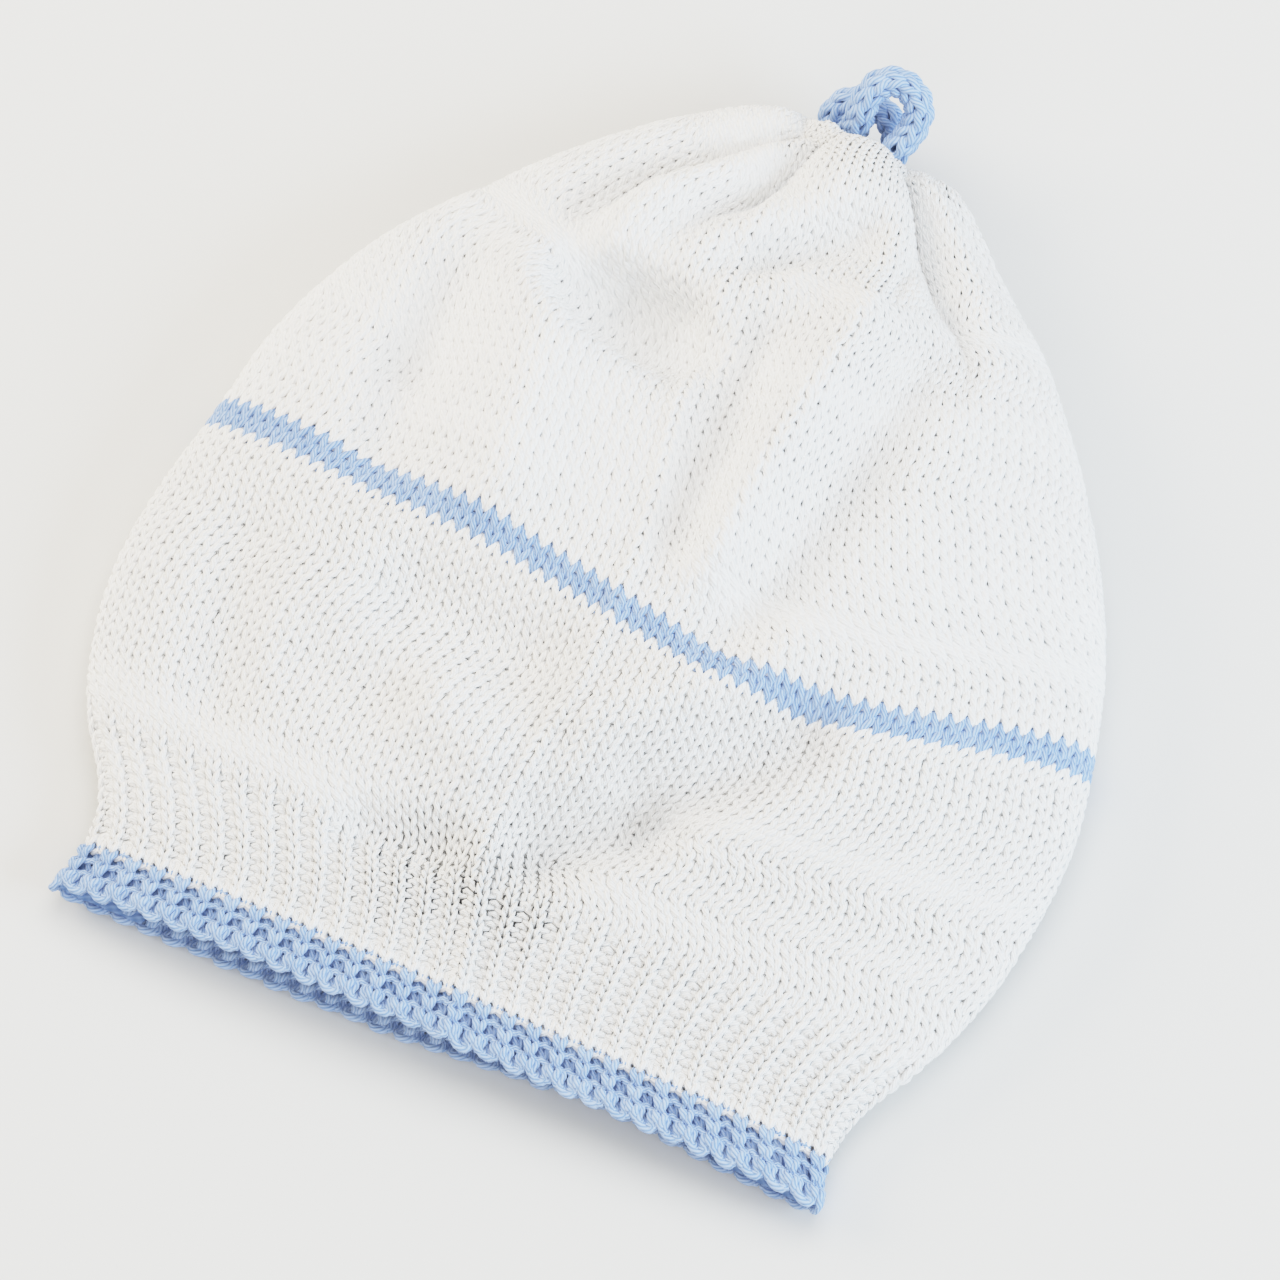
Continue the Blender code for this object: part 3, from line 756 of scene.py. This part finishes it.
# %% The tree that knits
UNEVEN_ACROSS = 0.045  # how far single stitches lean, in wales
UNEVEN_RISE = 0.07  # how far they stand up, in rows
UNEVEN_OUT = 0.00008  # how far they stand out, in metres
UNEVEN_YARN = 0.05  # how much their yarn differs in thickness
RIB_CORNERS = 2.2  # how suddenly the rib turns from knit to purl, where 1 is softly
KNIT_INPUTS = {
    # name: usual value, or the kind of input where there is none
    "Guide": "Geometry", "First wale": 0.0, "Wales": WALES, "Wales round": float(WALES),
    "First course": 0.0, "Courses": 1, "Rows high": float(ROWS), "Climb": 0.0,
    "Points to a stitch": 10, "Sides": 5, "Yarn radius": 0.00064, "Back fullness": 1.35,
    "Flatness": 0.80, "Lean": 0.25, "Squeeze": 0.025, "Loop height": 0.84, "Depth": 0.00045,
    "Rib": 0.0, "Rib spread": 0.05, "Rib lift": 0.00013, "Unevenness": 1.0, "Seed": 1,
    "Yarn": "Material",
}


def knit_tree():
    """The tree that turns a guide into courses of yarn."""
    tree = bpy.data.node_groups.new("knit courses", "GeometryNodeTree")
    for title, usual in KNIT_INPUTS.items():
        kind = "NodeSocket" + {int: "Int", float: "Float"}.get(type(usual), usual)
        socket = tree.interface.new_socket(name=title, in_out="INPUT", socket_type=kind)
        if not isinstance(usual, str):
            socket.default_value = usual
    tree.interface.new_socket(name="Knitting", in_out="OUTPUT", socket_type="NodeSocketGeometry")
    entry = tree.nodes.new("NodeGroupInput")
    take = {socket.name: Flow(socket) for socket in entry.outputs if socket.name}

    def add(kind, *inputs, **named):
        return node(tree, kind, *inputs, **named)

    # One straight line for each course, with a fixed number of points to a stitch
    count = take["Wales"] * take["Points to a stitch"] + 1.0
    line = add("GeometryNodeCurvePrimitiveLine", (0, 0, 0), (1, 0, 0))
    line = add("GeometryNodeResampleCurve", line, None, count)
    starts = add("GeometryNodePoints", take["Courses"])
    lines = add("GeometryNodeInstanceOnPoints", starts, None, line)
    lines = add("GeometryNodeRealizeInstances", lines)

    # Stitch and course numbers of each point
    index = add("GeometryNodeInputIndex")
    course_number = add("GeometryNodeCurveOfPoint", index)
    stitch = add("GeometryNodeCurveOfPoint", index, out=1) / take["Points to a stitch"]
    wale = take["First wale"] + stitch
    climb = take["Climb"] * stitch / take["Wales round"]
    row = take["First course"] + course_number + climb + 0.5

    # Each stitch differs a little from the next. The change fades out between stitches
    stitch_id = (wale + 0.001).math("FLOOR") + (course_number + take["First course"]) * 1000.0
    crest = (stitch.turned() * -0.5 + 0.5) * take["Unevenness"]

    def chance(most, seed):
        values = (("Min_001", -most), ("Max_001", most), ("ID", stitch_id))
        values += (("Seed", take["Seed"] + float(seed)),)
        return add("FunctionNodeRandomValue", out=1, data_type="FLOAT", settings=values)

    knot = chance(1.0, 1)

    # The swing of the yarn, in wales sideways, in rows up, in metres out
    across = (stitch * 2.0).swung() * take["Lean"] + stitch.swung() * take["Squeeze"]
    across = across + chance(UNEVEN_ACROSS, 2) * crest
    rise = stitch.turned() * take["Loop height"] * -1.0 + chance(UNEVEN_RISE, 3) * crest
    swing = (stitch * 2.0).turned() * take["Depth"] * -1.0
    every_second = ((wale * 0.5).swung() * RIB_CORNERS).math("MINIMUM", 1.0).math("MAXIMUM", -1.0)
    face = every_second * take["Rib"] + 1.0 - take["Rib"]
    spread_out = (wale * 0.5).turned() * take["Rib"] * take["Rib spread"] / math.pi
    out = swing * face + every_second * take["Rib"] * take["Rib lift"]
    out = out + chance(UNEVEN_OUT, 4) * crest

    # Their place on the guide
    u = ((wale + across - spread_out) / take["Wales round"]).math("FRACT")
    v = (row + rise) / take["Rows high"]
    spot = add("ShaderNodeCombineXYZ", u, v, 0.0)

    def carried(title, kind="FLOAT_VECTOR"):
        return add("GeometryNodeInputNamedAttribute", title, data_type=kind)

    def sample(value, kind="FLOAT_VECTOR"):
        address = carried("address")
        return add(
            "GeometryNodeSampleUVSurface", take["Guide"], value, address, spot, data_type=kind
        )

    place = sample(add("GeometryNodeInputPosition"))
    outward = sample(carried("out"))
    room = sample(carried("room", "FLOAT"), "FLOAT")
    push = add("ShaderNodeVectorMath", outward, None, None, out, operation="SCALE")
    place = add("ShaderNodeVectorMath", place, push, operation="ADD")

    # Keep the numbers that the material and the bake will need
    def keep(geometry, title, value, kind="FLOAT_VECTOR"):
        return add(
            "GeometryNodeStoreNamedAttribute", geometry, None, title, value,
            data_type=kind, domain="POINT",
        )

    lines = keep(lines, "outward", outward)
    back = (stitch * 2.0).turned() * 0.5 + 0.5
    full = (back * (take["Back fullness"] - 1.0) + 1.0) * take["Yarn radius"]
    lines = keep(lines, "thickness", full * room * (knot * UNEVEN_YARN + 1.0), "FLOAT")
    lines = keep(lines, "tint", knot, "FLOAT")
    part = add("GeometryNodeSplineParameter")
    lines = keep(lines, "way", add("ShaderNodeCombineXYZ", part, course_number, 0.0))
    lines = add("GeometryNodeSetPosition", lines, None, place)
    lines = keep(lines, "along", add("GeometryNodeSplineParameter", out=1), "FLOAT")
    lines = add("GeometryNodeSetCurveNormal", lines, None, carried("outward"), mode="FREE")

    # The yarn's round section, a little flattened, is drawn along the courses
    ring = add("GeometryNodeCurvePrimitiveCircle", take["Sides"])
    ring = keep(ring, "around", add("GeometryNodeInputPosition"))
    flat = add("ShaderNodeCombineXYZ", take["Flatness"], 1.0, 1.0)
    ring = add("GeometryNodeTransform", ring, None, None, flat)
    size = carried("thickness", "FLOAT")
    yarn = add("GeometryNodeCurveToMesh", lines, ring, size, True)
    yarn = add("GeometryNodeSetShadeSmooth", yarn, None, True)
    yarn = add("GeometryNodeRealizeInstances", yarn)
    yarn = add("GeometryNodeSetMaterial", yarn, None, take["Yarn"])
    leave = tree.nodes.new("NodeGroupOutput")
    tree.links.new(yarn.socket, leave.inputs[0])
    return tree


knit = knit_tree()
print("the knitting tree has", len(knit.nodes), "nodes")

# %% [markdown]
# ## From tree to mesh
#
# Each piece starts as the guide with the knitting tree on it. Once its inputs are set, the
# result is taken as a plain mesh and the modifier goes, so the piece stands by itself.
# Every course is then laid out flat as one strip of a UV map, side by side with the others,
# so that a colour can later be baked on all of the yarn without any overlap.

# %% Knit one piece
STRIP_SIDE = 0.04  # free share of a strip at either side
STRIP_END = 0.01  # free share at either end, where the yarn's two caps lie
CAPS = (0.002, 0.992)  # where along the strip
CAP_SIZE = (0.002, 0.2)  # half of a cap's length and width in it
KNITTED = []


def values_of(data, title, kind, width=1):
    """One value of every item of a mesh, as an array."""
    values = np.zeros(len(data) * width, dtype=kind)
    data.foreach_get(title, values)
    return values.reshape(-1, width) if width > 1 else values


def strips(mesh, sides, courses):
    """The UV map for baking: each course is a strip, its length across, its round up."""
    way = values_of(mesh.attributes["way"].data, "vector", float, 3)
    section = values_of(mesh.attributes["around"].data, "vector", float, 3)
    turn = np.arctan2(section[:, 1], section[:, 0]) / (2 * math.pi) % 1.0
    turn = np.round(turn * sides) / sides % 1.0
    corner = values_of(mesh.loops, "vertex_index", np.int32)
    total = values_of(mesh.polygons, "loop_total", np.int32)
    face = np.repeat(np.arange(len(total)), total)

    def of_face(pick, start, values):
        found = np.full(len(total), start)
        pick.at(found, face, values)
        return found[face]

    u, v = way[corner, 0], turn[corner]
    v = np.where(of_face(np.maximum, 0.0, v) - v > 0.5, v + 1.0, v)
    cap = of_face(np.maximum, 0.0, u) == of_face(np.minimum, np.inf, u)
    u = u * (1 - 2 * STRIP_END) + STRIP_END
    at_cap = np.where(u > 0.5, CAPS[1], CAPS[0]) + section[corner, 0] * CAP_SIZE[0]
    u = np.where(cap, at_cap, u)
    v = np.where(cap, section[corner, 1] * CAP_SIZE[1] + 0.5, v)
    v = (way[corner, 1] + STRIP_SIDE + v * (1 - 2 * STRIP_SIDE)) / courses
    layer = mesh.uv_layers.new(name="OFBake")
    layer.data.foreach_set("uv", np.stack([u, v], axis=1).astype(np.float32).ravel())


def put_in_place(name, mesh, packed):
    """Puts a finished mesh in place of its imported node."""
    made = add_object(name, mesh)
    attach(made, "root")
    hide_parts(packed)
    mesh.calc_loop_triangles()
    KNITTED.append(len(mesh.loop_triangles))
    print(name, KNITTED[-1], "triangles")


def knit_piece(name, packed, guide_data, **values):
    """Knits a piece over a guide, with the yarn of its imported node."""
    values["Yarn"] = YARNS[SLOTS[packed]]
    source = add_object(name + "_source", guide_data)
    modifier = source.modifiers.new("knitting", "NODES")
    modifier.node_group = knit
    for item in knit.interface.items_tree:
        title = item.name.replace(" ", "_")
        if item.in_out == "INPUT" and title in values:
            modifier[item.identifier] = values[title]
    graph = bpy.context.evaluated_depsgraph_get()
    mesh = bpy.data.meshes.new_from_object(
        source.evaluated_get(graph), preserve_all_data_layers=True, depsgraph=graph
    )
    mesh.name = name
    bpy.data.objects.remove(source)
    strips(mesh, values["Sides"], values["Courses"])
    for spent in ("outward", "thickness", "way"):
        mesh.attributes.remove(mesh.attributes[spent])
    put_in_place(name, mesh, packed)


print("room between strips", STRIP_SIDE, "and at their ends", STRIP_END)

# %% [markdown]
# ## The pieces of the hat
#
# The upper side is split down the back seam, where every course really ends. All of the hat
# could be knitted alike, but the underside lies on the floor, so it gets thinner detail. The
# mouth is fine all round, because both of its layers are seen.

# %% Knit the edge, the rib, the plain knitting and the crown
UPPER = 33  # wales on each side of the seam that are knitted finely
EDGE_COURSES = 3  # tall courses that the blue edge is knitted in
FINE = dict(Sides=5, Points_to_a_stitch=10)
PLAIN = dict(Sides=4, Points_to_a_stitch=6)
EDGE = dict(Rows_high=ROWS * EDGE_COURSES / EDGE_ROWS, Yarn_radius=0.00100, Sides=6)
RIB = dict(Yarn_radius=0.00072, Depth=0.0006, **FINE)

knit_piece(
    "edge_knitting", "edge_band", hat_guide, Seed=11, First_course=0.0, Courses=EDGE_COURSES,
    Points_to_a_stitch=12, Lean=0.20, Loop_height=0.58, Depth=0.0006, Back_fullness=0.8,
    Rib=1.0, Rib_spread=0.05, Rib_lift=0.0004, **EDGE,
)
knit_piece(
    "cast_on_loops", "edge_band", hat_guide, Seed=17, First_course=-0.12, Courses=1,
    Wales=WALES // 2, Wales_round=WALES / 2, First_wale=0.25, Points_to_a_stitch=16,
    Lean=0.16, Squeeze=0.03, Loop_height=-0.62, Depth=0.0003, Back_fullness=1.0, **EDGE,
)
knit_piece(
    "rib_start", "rib_band", hat_guide, Seed=18, First_course=float(EDGE_ROWS), Courses=1,
    Rib=0.3, Rib_spread=0.09, **dict(RIB, Yarn_radius=0.00080),
)
knit_piece(
    "rib_knitting", "rib_band", hat_guide, Seed=12, First_course=EDGE_ROWS + 1.0,
    Courses=RIB_ROWS - EDGE_ROWS - 2, Rib=1.0, Rib_spread=0.09, Rib_lift=0.00022, **RIB,
)
knit_piece(
    "rib_end", "rib_band", hat_guide, Seed=19, First_course=RIB_ROWS - 1.0, Courses=1,
    Rib=0.4, Rib_spread=0.05, **RIB,
)
SIDES = (
    # name, first wale, wales, fineness
    ("right", 0, UPPER, FINE),
    ("under", UPPER, WALES - 2 * UPPER, PLAIN),
    ("left", WALES - UPPER, UPPER, FINE),
)
ZONES = (
    # name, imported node, seed, first course, courses
    ("lower_", "lower_crown", 13, RIB_ROWS, STRIPE_START - RIB_ROWS),
    ("crown_", "upper_crown", 14, STRIPE_END, ROWS + CLOSING_ROWS - STRIPE_END - 1),
)
for side, first, wales, fineness in SIDES:
    for zone, packed, seed, start, courses in ZONES:
        knit_piece(
            zone + side, packed, hat_guide, Seed=seed, First_wale=float(first), Wales=wales,
            First_course=float(start), Courses=courses, **fineness,
        )
knit_piece(
    "stripe_knitting", "stripe", hat_guide, Seed=15,
    First_course=float(STRIPE_START), Courses=STRIPE_END - STRIPE_START, **FINE,
)

# %% [markdown]
# ### The back of the fabric
#
# Behind its V stitches the knitting has a second layer, the backs of the loops, which closes
# most of the small holes. Those loops could be knitted too, but the file would double. A thin
# closed sheet just behind the yarn does the same, with the low bumps of the backs as bump.
# Its colours are darker than the yarn's, as painted shade for lying behind the loops, and
# shade is also painted between the bumps.

# %% Lay the backs of the loops behind the upper side
BACK_WALES = 38  # wales on each side of the seam that get a back
BACK_DEPTH = 0.00072  # from the middle of the fabric to the sheet
BACK_WALL = 0.0004  # thickness of the sheet
BACK_BUMP = 0.0003  # height of the bumps
BACK_FINISH = {"Roughness": 0.9, "Specular IOR Level": 0.2}


def backs(tree):
    """The weave of the backs of the loops: rows of low bumps, by wale and row, with shade painted
    between them.
    """
    wale, row = carried_pair(tree, "stitch")
    bumps = wale.turned() * row.turned()
    return bumps * 0.5 + 0.5, bumps


def lay_back(name, packed, first, last):
    """A thin closed sheet behind the yarn of the upper side, from one row to another."""
    rows = np.arange(first, last + 1)
    wales = np.arange(-2 * BACK_WALES, 2 * BACK_WALES + 1) / 2
    line = np.round((rows - first_line) * GUIDE_ROWS).astype(int)[:, None]
    column = np.round(wales * GUIDE_COLUMNS).astype(int)[None, :] % around
    place, out = guide[line, column], guide_out[line, column]
    outer = place - out * BACK_DEPTH
    inner = outer - out * BACK_WALL
    tall, wide = place.shape[:2]
    count = tall * wide
    sheet = quads(tall, wide)
    faces = sheet.tolist() + (sheet[:, ::-1] + count).tolist()
    number = np.arange(count).reshape(tall, wide)
    rim = [*number[0, :], *number[1:, -1], *number[-1, -2::-1], *number[-2:0:-1, 0]]
    for a, b in zip(rim, rim[1:] + rim[:1]):
        faces.append([int(b), int(a), int(a) + count, int(b) + count])
    mesh = bpy.data.meshes.new(name)
    mesh.from_pydata(np.vstack([outer.reshape(-1, 3), inner.reshape(-1, 3)]).tolist(), [], faces)
    mesh.polygons.foreach_set("use_smooth", [True] * len(faces))
    stitch = np.broadcast_arrays(wales[None, :], rows[:, None], 0.0)
    stitch = np.stack(stitch, axis=2).reshape(-1, 3)
    carry(mesh, "stitch", "FLOAT_VECTOR", np.vstack([stitch, stitch]))
    mesh.materials.append(BACKS[SLOTS[packed]])
    put_in_place(name, mesh, packed)


BACKS = {
    # slot: name, weave, light colour on the bumps, deep colour painted between them as shade,
    # both darker than the yarn's, as painted shade for lying behind the loops
    "white_yarn": ("white_backs", backs, (0.90, 0.90, 0.89), (0.80, 0.80, 0.79)),
    "blue_yarn": ("blue_backs", backs, (0.31, 0.45, 0.76), (0.15, 0.27, 0.57)),
}
BACKS = {slot: cotton(*row, BACK_BUMP, BACK_FINISH) for slot, row in BACKS.items()}
lay_back("edge_back", "edge_band", 0, EDGE_ROWS)
lay_back("lower_back", "lower_crown", RIB_ROWS, STRIPE_START)
lay_back("stripe_back", "stripe", STRIPE_START, STRIPE_END)
lay_back("crown_back", "upper_crown", STRIPE_END, ROWS)

# %% [markdown]
# ## The cord
#
# The loop at the top is a narrow knitted tube, four stitches round, worked in one endless
# spiral. It could be a plain tube with a bump, but its big V stitches are plain to see. Its
# guide is a tube along a smooth path, and the same tree knits it with a climb of one row
# to each round, so that one single yarn makes all of it.

# %% Knit the cord
CORD = 0.0050  # thickness of the cord
CORD_WALES = 4
CORD_ROW = 0.0029  # height of a row of the cord
CORD_MID = 0.00170  # from the cord's middle line to the middle of its fabric
CORD_STEP = 0.0005  # length of its guide's steps
CORD_COLUMNS = 24
CORD_FIRST_ROW = 0.6
CORD_FREE_ROWS = 2.2  # rows at its ends that aren't knitted, inside the gather
LOOP_FOOT = (0.0, 0.1817, 0.0100)
LOOP = (
    # x, y, z in thicknesses of the cord: the front arch from its right foot up and over,
    (0.95, -0.45, 0.85), (1.1, 0.48, 1.18), (1.36, 1.1, 1.55), (1.36, 1.74, 2.05),
    (0.9, 2.12, 2.45), (0.26, 2.14, 2.66), (-0.28, 1.8, 2.58), (-0.52, 1.22, 2.16),
    (-0.58, 0.8, 1.42), (-0.82, 0.6, 0.5),
    # the left foot, low behind the gather,
    (-1.16, 0.62, -0.2), (-1.58, 0.8, -0.3),
    # and the rear arch, down to its right foot
    (-1.74, 1.22, 0.06), (-1.46, 1.7, 0.46), (-0.88, 1.96, 0.66), (-0.14, 1.94, 0.56),
    (0.46, 1.64, 0.24), (0.82, 1.08, -0.1), (0.92, 0.44, -0.28), (0.92, 0, -0.34),
)


def tube_guide(name, line, radius, columns):
    """A tube round a line as a guide, whose rows run along it."""
    ahead = np.gradient(line, axis=0)
    ahead /= np.linalg.norm(ahead, axis=1)[:, None]
    side = np.cross(ahead[0], (0.0, 0.0, 1.0))
    side /= np.linalg.norm(side)
    angle = np.linspace(0.0, 2.0 * math.pi, columns + 1)[:, None]
    outs = []
    for way in ahead:
        side = side - way * side.dot(way)
        side /= np.linalg.norm(side)
        outs.append(side * np.cos(angle) + np.cross(way, side) * np.sin(angle))
    outs = np.array(outs)
    rings = line[:, None] + outs * radius
    wrap = np.arange(-MARGIN, columns + MARGIN + 1) % columns
    return guide_mesh(
        name, rings[:, wrap], outs[:, wrap], np.ones((len(line), len(wrap))),
        (-MARGIN / columns, 0.0), (1 / columns, 1.0 / (len(line) - 1)),
    )


stops = np.array(LOOP) * CORD + LOOP_FOOT + shift
path = np.column_stack([np.arange(len(stops)), stops])
places = np.linspace(0, len(stops) - 1, 30 * len(stops))
cord_line = np.array([between(path, at) for at in places])
cord_length = lengths(cord_line)[-1]
cord_line = spread(cord_line, int(cord_length / CORD_STEP))
cord_rows = cord_length / CORD_ROW
cord_guide = tube_guide("cord_guide", cord_line, CORD_MID, CORD_COLUMNS)
print("cord", round(cord_length * 1000, 1), "mm,", round(cord_rows, 1), "rows")
knit_piece(
    "cord_knitting", "top_loop", cord_guide, Seed=16,
    Wales=int((cord_rows - CORD_FREE_ROWS) * CORD_WALES),
    Wales_round=float(CORD_WALES), Rows_high=cord_rows, Climb=1.0,
    First_course=CORD_FIRST_ROW, Courses=1, Sides=8, Points_to_a_stitch=16,
    Yarn_radius=0.00080, Depth=0.0006, Lean=0.26, Back_fullness=1.0,
)

# %% [markdown]
# ## Floor and light
#
# The hat lies on a pale sheet in soft daylight from the upper left. A single lamp would cut
# hard shadows, so a bright sky lights it from all round, and four large soft lamps give the
# light its sides: a window above, one in front, a warm one at the left, a cool one at the right.

# %% Floor
FLOOR_SIZE = 3.0
floor_mesh = bpy.data.meshes.new("floor")
h = FLOOR_SIZE / 2
floor_mesh.from_pydata([(-h, -h, 0), (h, -h, 0), (h, h, 0), (-h, h, 0)], [], [(0, 1, 2, 3)])
floor = add_object("floor", floor_mesh)
PAPER = {"Base Color": (0.76, 0.76, 0.75, 1.0), "Roughness": 0.7, "Specular IOR Level": 0.2}
floor_mesh.materials.append(new_material("pale_paper", PAPER)[0])
print("floor laid")

# %% Light
FILM = (
    # light in, brightness out: the photograph is bright and holds its whites just under paper
    (0.00, 0.00), (0.10, 0.15), (0.30, 0.43), (0.50, 0.63), (0.70, 0.755), (0.90, 0.83),
    (1.20, 0.885), (2.00, 0.93),
)
SKY = 0.435  # strength of the light from all round
world = bpy.data.worlds.new("soft_studio")
scene.world = world
world.use_nodes = True
sky = world.node_tree.nodes["Background"]
sky.inputs["Color"].default_value = (1.0, 0.985, 0.955, 1.0)
sky.inputs["Strength"].default_value = SKY
view = scene.view_settings
view.view_transform = "Standard"
view.use_curve_mapping = True
film = view.curve_mapping
film.white_level = (FILM[-1][0],) * 3
film_line = film.curves[3]
film_line.points[0].location = (0.0, 0.0)
film_line.points[1].location = (1.0, FILM[-1][1])
for light, bright in FILM[1:-1]:
    film_line.points.new(light / FILM[-1][0], bright)
film.update()


def lamp(name, place, power, size, colour):
    """A square soft lamp aimed at the hat."""
    data = bpy.data.lights.new(name, "AREA")
    data.energy = power
    data.size = size
    data.color = colour
    made = add_object(name, data)
    made.location = place
    made.rotation_euler = (-Vector(place)).to_track_quat("-Z", "Y").to_euler()


lamp("window", (-0.05, 0.50, 1.20), 6.2, 1.0, (1.0, 0.99, 0.97))
lamp("warm side", (-1.1, 0.05, 0.50), 6.2, 0.7, (1.0, 0.86, 0.66))
lamp("cool side", (1.15, 0.05, 0.50), 9.0, 0.7, (0.64, 0.82, 1.0))
lamp("front", (0.15, -1.2, 0.75), 4.2, 1.2, (1.0, 0.98, 0.95))
print("lit")

# %% Sizes, and the end
print("knitted triangles", sum(KNITTED))
